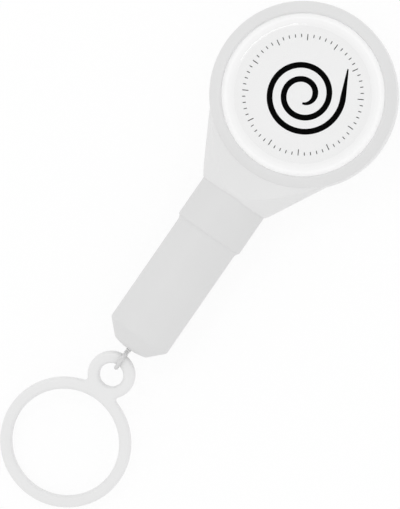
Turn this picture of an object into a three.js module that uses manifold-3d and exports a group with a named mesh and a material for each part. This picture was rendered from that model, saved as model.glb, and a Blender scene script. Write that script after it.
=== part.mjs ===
// Brow-marking thread reel: a spring reel in a round case, a barrel with an inked felt, and a pull ring.
// Millimetres. The origin is on the reel axis at the rear face, +Z comes out of the label,
// and the neck, barrel and ring follow one another towards -Y. "Distance" below is from the reel axis.
import * as THREE from "three";
import { mergeVertices } from "three/addons/utils/BufferGeometryUtils.js";
import Module from "manifold-3d";

// Round case and its two shells
const caseRadius = 17.82;
const caseWall = 1.6;
const bodyDepth = 15;
const edgeRadius = 1.1;
const bezelHeight = 1.5;
const bezelWidth = 2.39;
const bezelRound = 0.35;
const bezelInset = 0.05;
const labelRecess = 1.8;
const partingGap = 0.12;
const lipHeight = 0.8;
const lipThickness = 0.7;
const lipClearance = 0.12;

// Tapered shoulder between the case and the collar
const shoulderLength = 23.55;
const shoulderEndWidth = 14.33;
const shoulderRootAngle = THREE.MathUtils.degToRad(47.7);
const shoulderCorner = 0.6;

// Label
const labelThickness = 0.2;
const labelClearance = 0.12;
const domeHeight = 1.7;
const domeEdgeHeight = 0.35;
const domeShoulderWidth = 2.6;

// Case screws
const screwRadius = 0.8;
const screwHeadRadius = 1.65;
const screwHeadHeight = 1.1;
const screwLength = 10;
const screwSink = 0.25;
const screwClearance = 0.15;
const screwCrossWidth = 0.42;
const screwCrossDepth = 0.6;
const screwBossWall = 1.1;
const screwBossMerge = 0.35;
const screwBossSetback = 4.2;

// Thread
const threadRadius = 0.33;
const turnGap = 0.42;
const windingLift = 0.17;
const threadJoinGap = 0.4;
const feedBend = 1.5;

// Reel: arbor, spool, spring and its cover
const arborRadius = 2.4;
const arborFootRadius = 3.7;
const arborFootFlat = 2.9;
const arborFootHeight = 0.8;
const arborNeckRadius = 1.75;
const arborSlotWidth = 0.7;
const arborSlotDepth = 1.2;
const socketWall = 1.2;
const socketClearance = 0.12;
const thrustBossRadius = 3.4;
const thrustBossHeight = 0.7;
const neckSocketDepth = 0.45;
const reelClearance = 0.3;
const spoolRunGap = 0.6;
const spoolFlange = 0.9;
const spoolCoreRadius = 9.5;
const spoolCoreWall = 1.1;
const spoolWeb = 1.2;
const coverThickness = 0.8;
const coverLedge = 0.5;
const coverClearance = 0.12;
const springTurns = 6;
const springStrip = 0.2;
const springEndGap = 0.35;
const springSideGap = 0.3;
const springTab = 0.38;

// Collar and the thread guide in its tail
const collarRadius = 6.94;
const collarLength = 8.55;
const collarRound = 0.55;
const collarTailStep = 1.8;
const collarTailLength = 4.95;
const collarFlangeHeight = 0.9;
const collarFlangeThickness = 1.2;
const neckLip = 1;
const neckClearance = 0.12;
const faceGap = 0.1;
const guideRadius = 1.85;
const guideLength = 3.4;
const guideFlangeRadius = 2.9;
const guideFlange = 0.8;
const guideFlare = 1.3;

// Barrel and what it holds
const barrelRadius = 6.4;
const barrelLength = 26.4;
const spigotStep = 1.1;
const spigotLength = 7.2;
const spigotWall = 0.9;
const spigotClearance = 0.12;
const noseChamfer = 2.9;
const noseDome = 0.45;
const noseEdge = 0.35;
const noseHoleRadius = 0.75;
const noseFlare = 0.5;
const noseFloor = 4.4;
const plugThickness = 2;
const plugSink = 0.3;
const wiperThickness = 2.4;
const fillClearance = 0.12;
const threadPassage = 0.35;
const wiperPassage = 0.22;

// Pull ring with its eyelet, and the thread loop through it
const ringOuterRadius = 12.65;
const ringBand = 2.27;
const ringThickness = 2.2;
const ringEdge = 0.8;
const ringSpacing = 16.03;
const ringNotch = 0.7;
const eyeletOuterRadius = 4.57;
const eyeletHoleRadius = 2.3;
const ringGap = 1.38;
const tableClearance = 0.05;
const loopClearance = 0.2;
const knotRadius = 0.5;
const knotReach = 0.15;

// Facets
const caseFacets = 64;
const tubeFacets = 40;
const innerFacets = 32;
const smallFacets = 16;
const roundFacets = 3;
const cornerFacets = 2;
const threadSides = 6;
const stepsPerTurn = 18;
const feedSteps = 30;
const loopSteps = 24;
const springSteps = 16;
const mergeTolerance = 1e-4;

// Levels and distances that the sizes above set
const axisHeight = bodyDepth / 2;
const frontTop = bodyDepth + bezelHeight;
const recessFloor = frontTop - labelRecess;
const ceilingLevel = recessFloor - caseWall;
const splitLevel = axisHeight;
const recessRadius = caseRadius - bezelWidth;
const labelRadius = recessRadius - labelClearance;
const reelBottom = caseWall + arborFootHeight + reelClearance;
const reelTop = ceilingLevel - thrustBossHeight - reelClearance;
const grooveBottom = reelBottom + spoolFlange;
const grooveTop = reelTop - spoolFlange;
const webBottom = reelTop - spoolWeb;
const ledgeLevel = reelBottom + coverThickness + coverClearance;
const windingRadius = spoolCoreRadius + windingLift + threadRadius;
const turnPitch = 2 * threadRadius + turnGap;
const windingRoom = grooveTop - grooveBottom - 2 * threadRadius - turnGap;
const windingTurns = Math.floor(windingRoom / turnPitch);
const windingMiddle = (grooveTop + grooveBottom) / 2;
const tailDistance = shoulderLength - collarTailLength;
const cavityDistance = tailDistance - neckLip;
const collarStart = shoulderLength + faceGap;
const collarEnd = shoulderLength + collarLength;
const barrelStart = collarEnd + faceGap;
const noseDistance = barrelStart + barrelLength;
const spigotStart = barrelStart - spigotLength;
const socketFloor = spigotStart - faceGap;
const tailRadius = collarRadius - collarTailStep;
const spigotRadius = barrelRadius - spigotStep;
const boreRadius = spigotRadius - spigotWall;
const fillRadius = boreRadius - fillClearance;
const plugStart = spigotStart + plugSink;
const plugEnd = plugStart + plugThickness;
const boreEnd = noseDistance - noseFloor;
const wiperStart = boreEnd - faceGap - wiperThickness;
const guideHoleRadius = threadRadius + 2 * threadPassage;
const feedEnd = (plugStart + plugEnd) / 2;
const bandHalf = (eyeletOuterRadius - eyeletHoleRadius) / 2;
const pivotDistance = noseDistance + ringGap + bandHalf;
const eyeletOffset = eyeletHoleRadius + bandHalf;
const ringOffset = eyeletOffset + ringSpacing;
const ringDrop = axisHeight - ringThickness / 2 - tableClearance;
const ringTilt = Math.asin(ringDrop / (ringOffset + ringOuterRadius));
const bandCorner = Math.hypot(bandHalf - ringEdge, ringThickness / 2 - ringEdge) + ringEdge;
const loopRadius = bandCorner + loopClearance + threadRadius;
const knotOffset = loopRadius + knotReach;

const wasm = await Module();
wasm.setup();

// A closed solid from any three.js geometry, for cutting and joining.
function solidOf(geometry) {
  const flat = geometry.index ? geometry.toNonIndexed() : geometry;
  const bare = new THREE.BufferGeometry();
  bare.setAttribute("position", flat.getAttribute("position"));
  const merged = mergeVertices(bare, mergeTolerance);
  const mesh = new wasm.Mesh({
    numProp: 3,
    vertProperties: new Float32Array(merged.getAttribute("position").array),
    triVerts: new Uint32Array(merged.index.array),
  });
  return new wasm.Manifold(mesh);
}

function geometryOf(solid) {
  const mesh = solid.getMesh();
  const geometry = new THREE.BufferGeometry();
  geometry.setAttribute("position", new THREE.BufferAttribute(new Float32Array(mesh.vertProperties), 3));
  geometry.setIndex(new THREE.BufferAttribute(new Uint32Array(mesh.triVerts), 1));
  geometry.computeVertexNormals();
  return geometry;
}

// A turned form about Y from (radius, height) corners, whatever way round they are listed.
function turned(corners, facets) {
  const profile = corners.map(([radius, height]) => new THREE.Vector2(radius, height));
  const ordered = THREE.ShapeUtils.area(profile) < 0 ? profile.reverse() : profile;
  const onAxis = ordered.filter((point) => point.x === 0).length > 1;
  if (onAxis) {
    while (ordered[0].x !== 0 || ordered[ordered.length - 1].x !== 0) {
      ordered.push(ordered.shift());
    }
    return new THREE.LatheGeometry(ordered, facets);
  }
  return new THREE.LatheGeometry([...ordered, ordered[0].clone()], facets);
}

// The same about Z, with heights as levels above the rear face.
function turnedUp(corners, facets) {
  return turned(corners, facets).rotateX(Math.PI / 2);
}

// The same about the barrel axis, with heights as distances from the reel axis towards the ring.
function turnedAlong(corners, facets) {
  return turned(corners.map(([radius, distance]) => [radius, -distance]), facets);
}

function arcPoints(x, y, radius, from, to, steps) {
  const points = [];
  for (let step = 0; step <= steps; step += 1) {
    const angle = from + ((to - from) * step) / steps;
    points.push(new THREE.Vector2(x + radius * Math.cos(angle), y + radius * Math.sin(angle)));
  }
  return points;
}

// A flat plate between two levels, with rounded edges where an edge radius is given.
function plate(outline, low, high, edge = 0, holes = []) {
  const shape = new THREE.Shape(outline);
  shape.holes = holes.map((hole) => new THREE.Path(hole));
  const geometry = new THREE.ExtrudeGeometry(shape, {
    depth: high - low - 2 * edge,
    bevelEnabled: edge > 0,
    bevelThickness: edge,
    bevelSize: edge,
    bevelOffset: -edge,
    bevelSegments: roundFacets,
  });
  return geometry.translate(0, 0, low + edge);
}

function block(width, height, depth, x, y, z) {
  return new THREE.BoxGeometry(width, height, depth).translate(x, y, z);
}

function tube(path, steps) {
  const section = new THREE.Shape(arcPoints(0, 0, threadRadius, 0, 2 * Math.PI, threadSides).slice(1));
  return new THREE.ExtrudeGeometry(section, { steps, extrudePath: path, bevelEnabled: false });
}

function finish(color, roughness, metalness = 0) {
  return new THREE.MeshStandardMaterial({ color, roughness, metalness });
}

function piece(name, geometry, material, parent) {
  const mesh = new THREE.Mesh(geometry, material);
  mesh.name = name;
  parent.add(mesh);
  return mesh;
}

const caseWhite = finish(0xe6e6e6, 0.45);
const barrelWhite = finish(0xdddddd, 0.5);
const ringWhite = finish(0xe8e8e8, 0.4);
const labelWhite = finish(0xeeeeee, 0.6);
const resinClear = finish(0xf6f6f6, 0.08);
const acetalWhite = finish(0xe9e7e0, 0.5);
const threadGrey = finish(0xc4c4c4, 0.85);
const feltDark = finish(0x3b302b, 0.95);
const siliconeGrey = finish(0xb9bcc0, 0.6);
const springSteel = finish(0x8d9297, 0.35, 1);
const screwSteel = finish(0xb4b7ba, 0.3, 1);

const reel = new THREE.Group();
reel.name = "brow_thread_reel";

// Outline of the case and shoulder seen from the front. The sides run straight from the round case
// to the end of the shoulder, and an inset outline keeps the same distance to all of it.
const rootPoint = new THREE.Vector2(Math.sin(shoulderRootAngle), -Math.cos(shoulderRootAngle));
rootPoint.multiplyScalar(caseRadius);
const endCorner = new THREE.Vector2(shoulderEndWidth / 2, -shoulderLength);
const sideDirection = rootPoint.clone().sub(endCorner).normalize();
const sideNormal = new THREE.Vector2(sideDirection.y, -sideDirection.x);
const sideDistance = sideNormal.dot(rootPoint);
const rootSign = Math.sign(sideDirection.dot(rootPoint));

function caseOutline(inset, endDistance, corner) {
  const radius = caseRadius - inset;
  const across = sideDistance - inset;
  const along = rootSign * Math.sqrt(radius * radius - across * across);
  const root = sideNormal.clone().multiplyScalar(across).addScaledVector(sideDirection, along);
  const halfEnd = (across + sideNormal.y * endDistance) / sideNormal.x;
  const rootAngle = Math.atan2(root.y, root.x);
  const end = new THREE.Vector2(halfEnd, -endDistance);
  const onSide = end.clone().addScaledVector(sideDirection, corner);
  const onEnd = new THREE.Vector2(halfEnd - corner, -endDistance);
  const right = new THREE.QuadraticBezierCurve(onEnd, end, onSide).getPoints(cornerFacets);
  const left = right.map((point) => new THREE.Vector2(-point.x, point.y)).reverse();
  return [...arcPoints(0, 0, radius, rootAngle, Math.PI - rootAngle, caseFacets), ...left, ...right];
}

// Both shells share one outer form, one hollow and one neck, and part on the barrel axis.
const outerForm = solidOf(plate(caseOutline(0, shoulderLength, shoulderCorner), 0, bodyDepth, edgeRadius));
const hollow = solidOf(plate(caseOutline(caseWall, cavityDistance, 0), caseWall, ceilingLevel));
const bezel = solidOf(
  turnedUp(
    [
      [0, bodyDepth - 2 * edgeRadius],
      [caseRadius - bezelInset, bodyDepth - 2 * edgeRadius],
      [caseRadius - bezelInset, bodyDepth - bezelRound],
      [caseRadius - bezelInset - bezelRound / 2, bodyDepth + bezelRound / 2],
      [recessRadius + bezelRound, frontTop],
      [0, frontTop],
    ],
    caseFacets,
  ),
);
const recess = solidOf(
  turnedUp(
    [
      [0, recessFloor],
      [recessRadius, recessFloor],
      [recessRadius, frontTop + bezelHeight],
      [0, frontTop + bezelHeight],
    ],
    caseFacets,
  ),
);
const neckBore = solidOf(
  turnedAlong(
    [
      [0, cavityDistance - neckLip],
      [tailRadius + neckClearance, cavityDistance - neckLip],
      [tailRadius + neckClearance, tailDistance - neckClearance],
      [tailRadius + collarFlangeHeight + neckClearance, tailDistance - neckClearance],
      [tailRadius + collarFlangeHeight + neckClearance, tailDistance + collarFlangeThickness + neckClearance],
      [tailRadius + neckClearance, tailDistance + collarFlangeThickness + neckClearance],
      [tailRadius + neckClearance, shoulderLength + neckLip],
      [0, shoulderLength + neckLip],
    ],
    tubeFacets,
  ).translate(0, 0, axisHeight),
);

// Locating lip on the rear shell, and the rebate for it in the front shell.
function lipBand(outerInset, innerInset, top) {
  const outline = caseOutline(outerInset, cavityDistance + caseWall - outerInset, 0);
  const inside = caseOutline(innerInset, cavityDistance + caseWall - innerInset, 0);
  return solidOf(plate(outline, splitLevel - lipHeight, top, 0, [inside]));
}
const lip = lipBand(caseWall - lipThickness, caseWall, splitLevel + lipHeight);
const rebate = lipBand(
  caseWall - lipThickness - lipClearance,
  caseWall + lipThickness,
  splitLevel + lipHeight + lipClearance,
);

// The two screw bosses stand in the corners of the shoulder, and the spool is as wide as they leave room for.
const bossRadius = screwRadius + screwClearance + screwBossWall;
const bossAcross = sideDistance - caseWall - bossRadius + screwBossMerge;
const bossY = screwBossSetback - cavityDistance;
const bossPoint = new THREE.Vector2((bossAcross - sideNormal.y * bossY) / sideNormal.x, bossY);
const spoolFlangeRadius = bossPoint.length() - bossRadius - spoolRunGap;

function postAt(side, radius, low, high) {
  const corners = [
    [0, low],
    [radius, low],
    [radius, high],
    [0, high],
  ];
  return solidOf(turnedUp(corners, smallFacets).translate(side * bossPoint.x, bossPoint.y, 0));
}

function screwHole(side, top) {
  const shank = screwRadius + screwClearance;
  const head = screwHeadRadius + screwClearance;
  const headEnd = screwSink + screwHeadHeight;
  const corners = [
    [0, -caseWall],
    [head, -caseWall],
    [head, screwSink],
    [shank, headEnd],
    [shank, top],
    [0, top],
  ];
  return solidOf(turnedUp(corners, smallFacets).translate(side * bossPoint.x, bossPoint.y, 0));
}

const wide = 4 * (caseRadius + shoulderLength);
const rearTop = splitLevel - partingGap / 2;
const frontBottom = splitLevel + partingGap / 2;
const rearSpace = solidOf(block(wide, wide, wide, 0, 0, rearTop - wide / 2));
const frontSpace = solidOf(block(wide, wide, wide, 0, 0, frontBottom + wide / 2));
const screwTip = screwSink + screwLength;

// Arbor socket on the rear shell: a low ring with two flats that keep the arbor from turning.
function flattedDisc(radius, flat, low, high) {
  const corners = [
    [0, low],
    [radius, low],
    [radius, high],
    [0, high],
  ];
  const round = solidOf(turnedUp(corners, innerFacets));
  return round.intersect(solidOf(block(2 * flat, wide, wide, 0, 0, 0)));
}
const footRadius = arborFootRadius + socketClearance;
const socketOuter = footRadius + socketWall;
const socketTop = caseWall + arborFootHeight;
const socketCorners = [
  [0, caseWall / 2],
  [socketOuter, caseWall / 2],
  [socketOuter, socketTop],
  [0, socketTop],
];
const footRoom = flattedDisc(footRadius, arborFootFlat + socketClearance, caseWall, socketTop + caseWall);
const socket = solidOf(turnedUp(socketCorners, innerFacets)).subtract(footRoom);

let rearForm = outerForm.intersect(rearSpace).subtract(hollow).add(socket);
let frontForm = outerForm.add(bezel).intersect(frontSpace).subtract(hollow).subtract(recess);
for (const side of [-1, 1]) {
  rearForm = rearForm.add(postAt(side, bossRadius, caseWall / 2, rearTop));
  frontForm = frontForm.add(postAt(side, bossRadius, frontBottom, ceilingLevel + caseWall / 2));
}
const thrustCorners = [
  [0, reelTop + reelClearance],
  [thrustBossRadius, reelTop + reelClearance],
  [thrustBossRadius, ceilingLevel + caseWall / 2],
  [0, ceilingLevel + caseWall / 2],
];
const neckSocketTop = ceilingLevel + neckSocketDepth;
const neckSocketCorners = [
  [0, reelTop],
  [arborNeckRadius + socketClearance, reelTop],
  [arborNeckRadius + socketClearance, neckSocketTop],
  [0, neckSocketTop],
];
frontForm = frontForm.add(solidOf(turnedUp(thrustCorners, innerFacets)));
frontForm = frontForm.subtract(solidOf(turnedUp(neckSocketCorners, innerFacets)));
rearForm = rearForm.add(lip.subtract(hollow)).subtract(neckBore);
frontForm = frontForm.subtract(rebate).subtract(neckBore);
for (const side of [-1, 1]) {
  rearForm = rearForm.subtract(screwHole(side, splitLevel + lipHeight));
  const pilot = postAt(side, screwRadius + screwClearance, splitLevel - lipHeight, screwTip + faceGap);
  frontForm = frontForm.subtract(pilot);
}
piece("rear_shell", geometryOf(rearForm), caseWhite, reel);
piece("front_shell", geometryOf(frontForm), caseWhite, reel);

// Countersunk screws with a cross recess, put in from the rear.
const cross = solidOf(block(2 * screwHeadRadius, screwCrossWidth, 2 * screwCrossDepth, 0, 0, 0));
const screwCorners = [
  [0, 0],
  [screwHeadRadius, 0],
  [screwRadius, screwHeadHeight],
  [screwRadius, screwLength - screwRadius],
  [0, screwLength],
];
const screwForm = solidOf(turnedUp(screwCorners, smallFacets))
  .subtract(cross)
  .subtract(cross.rotate([0, 0, 90]));
for (const [name, side] of [["case_screw_left", -1], ["case_screw_right", 1]]) {
  const screw = piece(name, geometryOf(screwForm), screwSteel, reel);
  screw.position.set(side * bossPoint.x, bossPoint.y, screwSink);
}

// Printed label disc in the recess, under a clear poured dome with a soft edge.
const labelGroup = new THREE.Group();
labelGroup.position.z = recessFloor;
reel.add(labelGroup);
const discCorners = [
  [0, 0],
  [labelRadius, 0],
  [labelRadius, labelThickness],
  [0, labelThickness],
];
piece("label_disc", turnedUp(discCorners, caseFacets), labelWhite, labelGroup);
const domeCorners = [[0, 0], [labelRadius, 0]];
for (let step = 0; step <= roundFacets; step += 1) {
  const angle = (Math.PI / 2) * (step / roundFacets);
  const radius = labelRadius - domeShoulderWidth * (1 - Math.cos(angle));
  domeCorners.push([radius, domeEdgeHeight + (domeHeight - domeEdgeHeight) * Math.sin(angle)]);
}
domeCorners.push([0, domeHeight]);
const dome = piece("label_dome", turnedUp(domeCorners, caseFacets), resinClear, labelGroup);
dome.position.z = labelThickness;

// Fixed arbor: a flatted foot in the rear shell, a slotted stem for the spring and a neck for the spool.
const stemTop = webBottom - reelClearance;
const arborNeckTop = neckSocketTop - socketClearance;
const stem = solidOf(
  turnedUp(
    [
      [0, caseWall + arborFootHeight / 2],
      [arborRadius, caseWall + arborFootHeight / 2],
      [arborRadius, stemTop],
      [arborNeckRadius, stemTop],
      [arborNeckRadius, arborNeckTop],
      [0, arborNeckTop],
    ],
    innerFacets,
  ),
);
const slotBottom = ledgeLevel;
const arborSlot = solidOf(
  block(
    2 * arborSlotDepth,
    arborSlotWidth,
    stemTop - slotBottom,
    arborRadius,
    0,
    (stemTop + slotBottom) / 2,
  ),
);
const foot = flattedDisc(arborFootRadius, arborFootFlat, caseWall, socketTop);
piece("reel_arbor", geometryOf(foot.add(stem).subtract(arborSlot)), acetalWhite, reel);

// Spool, open at the rear for the spring, running on the arbor neck.
const cavityRadius = spoolCoreRadius - spoolCoreWall;
const mouthRadius = cavityRadius + coverLedge;
const spoolBore = arborNeckRadius + reelClearance / 2;
const spoolCorners = [
  [spoolBore, webBottom],
  [cavityRadius, webBottom],
  [cavityRadius, ledgeLevel],
  [mouthRadius, ledgeLevel],
  [mouthRadius, reelBottom],
  [spoolFlangeRadius, reelBottom],
  [spoolFlangeRadius, grooveBottom],
  [spoolCoreRadius, grooveBottom],
  [spoolCoreRadius, grooveTop],
  [spoolFlangeRadius, grooveTop],
  [spoolFlangeRadius, reelTop],
  [spoolBore, reelTop],
];
const springBottom = ledgeLevel + springSideGap;
const springTop = webBottom - springSideGap;
const springMiddle = (springTop + springBottom) / 2;
const tabSlotTop = springTop + springSideGap / 2;
const tabSlotMiddle = (tabSlotTop + reelBottom) / 2;
const tabSlot = solidOf(
  block(2 * springTab, arborSlotWidth, tabSlotTop - reelBottom, cavityRadius, 0, tabSlotMiddle),
);
const spoolForm = solidOf(turnedUp(spoolCorners, innerFacets)).subtract(tabSlot);
piece("spool", geometryOf(spoolForm), acetalWhite, reel);

// Cover that keeps the spring in the spool.
const coverCorners = [
  [arborRadius + reelClearance, reelBottom],
  [mouthRadius - coverClearance, reelBottom],
  [mouthRadius - coverClearance, reelBottom + coverThickness],
  [arborRadius + reelClearance, reelBottom + coverThickness],
];
piece("spring_cover", turnedUp(coverCorners, innerFacets), acetalWhite, reel);

// Flat spiral spring: one tab sits in the arbor slot, the other in the slot of the spool.
const springInner = arborRadius + springEndGap;
const springOuter = cavityRadius - springEndGap;
const springLine = [new THREE.Vector2(arborRadius - arborSlotDepth / 2, 0)];
const springCount = springTurns * springSteps;
for (let step = 0; step <= springCount; step += 1) {
  const angle = (2 * Math.PI * step) / springSteps;
  const radius = springInner + ((springOuter - springInner) * step) / springCount;
  springLine.push(new THREE.Vector2(radius * Math.cos(angle), radius * Math.sin(angle)));
}
springLine.push(new THREE.Vector2(cavityRadius + springTab / 2, 0));
function stripSide(offset) {
  return springLine.map((point, index) => {
    const before = springLine[Math.max(index - 1, 0)];
    const after = springLine[Math.min(index + 1, springLine.length - 1)];
    const way = after.clone().sub(before).normalize();
    return new THREE.Vector2(point.x + way.y * offset, point.y - way.x * offset);
  });
}
const springOutline = [...stripSide(springStrip / 2), ...stripSide(-springStrip / 2).reverse()];
piece("power_spring", plate(springOutline, springBottom, springTop), springSteel, reel);

// Thread: wound in one layer on the spool, then led off on a tangent to the guide in the neck.
const bendPoint = new THREE.Vector3(0, -tailDistance, axisHeight);
const leaveAngle = Math.acos(windingRadius / tailDistance) - Math.PI / 2;
const windingLevel = windingMiddle + (windingTurns * turnPitch) / 2;
const leavePoint = new THREE.Vector3(
  windingRadius * Math.cos(leaveAngle),
  windingRadius * Math.sin(leaveAngle),
  windingLevel,
);
const windingPoints = [];
const windingCount = windingTurns * stepsPerTurn;
for (let step = windingCount; step >= 0; step -= 1) {
  const angle = leaveAngle + (2 * Math.PI * step) / stepsPerTurn;
  const level = windingLevel - (turnPitch * step) / stepsPerTurn;
  windingPoints.push(
    new THREE.Vector3(windingRadius * Math.cos(angle), windingRadius * Math.sin(angle), level),
  );
}
const windingCurve = new THREE.CatmullRomCurve3(windingPoints);
const windingForm = tube(windingCurve, windingCount);
piece("thread_winding", windingForm, threadGrey, reel);
let leastGap = Infinity;
windingPoints.forEach((point, index) => {
  windingPoints.slice(index + stepsPerTurn / 2).forEach((other) => {
    leastGap = Math.min(leastGap, point.distanceTo(other) - 2 * threadRadius);
  });
});
console.log(`thread_winding: least gap to itself ${leastGap.toFixed(2)} mm`);

const inward = bendPoint.clone().sub(leavePoint).normalize();
const outwardWay = new THREE.Vector3(0, -1, 0);
const feedStart = leavePoint.clone().addScaledVector(inward, threadJoinGap + threadRadius);
const bendStart = bendPoint.clone().addScaledVector(inward, -feedBend);
const bendEnd = bendPoint.clone().addScaledVector(outwardWay, feedBend);
const feedPath = new THREE.CurvePath();
feedPath.add(new THREE.LineCurve3(feedStart, bendStart));
feedPath.add(new THREE.QuadraticBezierCurve3(bendStart, bendPoint, bendEnd));
feedPath.add(new THREE.LineCurve3(bendEnd, new THREE.Vector3(0, -feedEnd, axisHeight)));
piece("thread_feed", tube(feedPath, feedSteps), threadGrey, reel);

// Collar, guide, barrel and what the barrel holds all lie on the barrel axis.
const stalk = new THREE.Group();
stalk.position.z = axisHeight;
reel.add(stalk);

const collarBore = guideRadius + neckClearance;
const socketRadius = spigotRadius + spigotClearance;
const collarCorners = [
  [collarBore, tailDistance],
  [tailRadius + collarFlangeHeight, tailDistance],
  [tailRadius + collarFlangeHeight, tailDistance + collarFlangeThickness],
  [tailRadius, tailDistance + collarFlangeThickness],
  [tailRadius, collarStart],
  [collarRadius, collarStart],
  [collarRadius, collarEnd - collarRound],
  [collarRadius - collarRound, collarEnd],
  [socketRadius, collarEnd],
  [socketRadius, socketFloor],
  [collarBore, socketFloor],
];
piece("neck_collar", turnedAlong(collarCorners, tubeFacets), barrelWhite, stalk);

const guideStart = tailDistance - faceGap - guideFlange;
const guideCorners = [
  [guideHoleRadius + guideFlare, guideStart],
  [guideFlangeRadius, guideStart],
  [guideFlangeRadius, tailDistance - faceGap],
  [guideRadius, tailDistance - faceGap],
  [guideRadius, tailDistance + guideLength],
  [guideHoleRadius, tailDistance + guideLength],
  [guideHoleRadius, guideStart + guideFlare],
];
piece("thread_guide", turnedAlong(guideCorners, innerFacets), acetalWhite, stalk);

const noseFaceRadius = barrelRadius - noseChamfer;
const chamferStart = noseDistance - noseDome - noseChamfer;
const chamferEnd = noseDistance - noseDome;
const flareRadius = noseHoleRadius + noseFlare;
const barrelCorners = [
  [boreRadius, spigotStart],
  [spigotRadius, spigotStart],
  [spigotRadius, barrelStart],
  [barrelRadius - noseEdge / 2, barrelStart],
  [barrelRadius, barrelStart + noseEdge / 2],
  [barrelRadius, chamferStart - noseEdge],
  [barrelRadius - noseEdge / 2, chamferStart + noseEdge / 2],
  [noseFaceRadius + noseEdge / 2, chamferEnd - noseEdge / 2],
  [noseFaceRadius - noseEdge, chamferEnd + noseDome / 2],
  [(noseFaceRadius + flareRadius) / 2, noseDistance - noseDome / 6],
  [flareRadius, noseDistance],
  [noseHoleRadius, noseDistance - noseFlare],
  [noseHoleRadius, boreEnd],
  [boreRadius, boreEnd],
];
piece("barrel", turnedAlong(barrelCorners, tubeFacets), barrelWhite, stalk);

function bush(outer, inner, from, to) {
  return turnedAlong([[inner, from], [outer, from], [outer, to], [inner, to]], innerFacets);
}
const plugForm = bush(fillRadius, threadRadius + threadPassage, plugStart, plugEnd);
piece("felt_plug", plugForm, acetalWhite, stalk);
const feltForm = bush(fillRadius, threadRadius + threadPassage, plugEnd + faceGap, wiperStart - faceGap);
piece("ink_felt", feltForm, feltDark, stalk);
const wiperForm = bush(fillRadius, threadRadius + wiperPassage, wiperStart, boreEnd - faceGap);
piece("nose_wiper", wiperForm, siliconeGrey, stalk);

// Last run of the thread, from the felt plug out through the nose, drawn out with the ring.
const knotDistance = pivotDistance - knotOffset;
const endStart = feedEnd + threadJoinGap;
const endStop = knotDistance - knotRadius - faceGap;
const endPath = new THREE.LineCurve3(new THREE.Vector3(0, -endStart, 0), new THREE.Vector3(0, -endStop, 0));
piece("thread_end", tube(endPath, 1), threadGrey, stalk);

// Knot and loop about the band of the eyelet.
const pivot = new THREE.Group();
pivot.position.set(0, -pivotDistance, axisHeight);
reel.add(pivot);
const knotPoint = new THREE.Vector3(0, knotOffset, 0);
const loopPoints = [knotPoint];
const loopOpening = Math.PI / 6;
for (let step = 0; step <= loopSteps / 2; step += 1) {
  const angle = loopOpening + ((2 * Math.PI - 2 * loopOpening) * step) / (loopSteps / 2);
  loopPoints.push(new THREE.Vector3(0, loopRadius * Math.cos(angle), loopRadius * Math.sin(angle)));
}
loopPoints.push(knotPoint.clone());
const loopTube = solidOf(tube(new THREE.CatmullRomCurve3(loopPoints), loopSteps));
const knot = new THREE.SphereGeometry(knotRadius, 2 * threadSides, threadSides);
knot.translate(knotPoint.x, knotPoint.y, knotPoint.z);
piece("thread_loop", geometryOf(loopTube.add(solidOf(knot))), threadGrey, pivot);

// Pull ring and eyelet in one moulding, tipped so that its far edge meets the table.
const ringGroup = new THREE.Group();
ringGroup.rotation.x = ringTilt;
pivot.add(ringGroup);
const notchReachRing = ringOuterRadius + ringNotch;
const notchReachEye = eyeletOuterRadius + ringNotch;
const notchAlong =
  (ringSpacing * ringSpacing + notchReachEye * notchReachEye - notchReachRing * notchReachRing) /
  (2 * ringSpacing);
const notchAcross = Math.sqrt(notchReachEye * notchReachEye - notchAlong * notchAlong);
const eyeY = -eyeletOffset;
const ringY = -ringOffset;
const notchY = eyeY - notchAlong;
const notchOnRing = Math.atan2(ringY - notchY, -notchAcross);
const notchOnEye = Math.atan2(eyeY - notchY, -notchAcross);
const ringFrom = Math.atan2(notchY - ringY, notchAcross);
const eyeFrom = Math.atan2(notchY - eyeY, notchAcross);
const notchFrom = notchOnRing + 2 * Math.PI;
const rightNotch = arcPoints(notchAcross, notchY, ringNotch, notchFrom, notchOnEye, roundFacets);
const leftNotch = rightNotch.map((point) => new THREE.Vector2(-point.x, point.y)).reverse();
const ringOutline = [
  ...arcPoints(0, ringY, ringOuterRadius, Math.PI - ringFrom, 2 * Math.PI + ringFrom, tubeFacets),
  ...rightNotch.slice(1),
  ...arcPoints(0, eyeY, eyeletOuterRadius, eyeFrom, Math.PI - eyeFrom, smallFacets).slice(1),
  ...leftNotch.slice(1, -1),
];
const fingerHole = arcPoints(0, ringY, ringOuterRadius - ringBand, 0, 2 * Math.PI, tubeFacets).slice(1);
const eyeHole = arcPoints(0, eyeY, eyeletHoleRadius, 0, 2 * Math.PI, smallFacets).slice(1);
const ringForm = plate(ringOutline, -ringThickness / 2, ringThickness / 2, ringEdge, [fingerHole, eyeHole]);
piece("pull_ring", ringForm, ringWhite, ringGroup);

export default reel;
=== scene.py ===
import math

import bmesh
import bpy
from mathutils import Matrix, Vector


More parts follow.
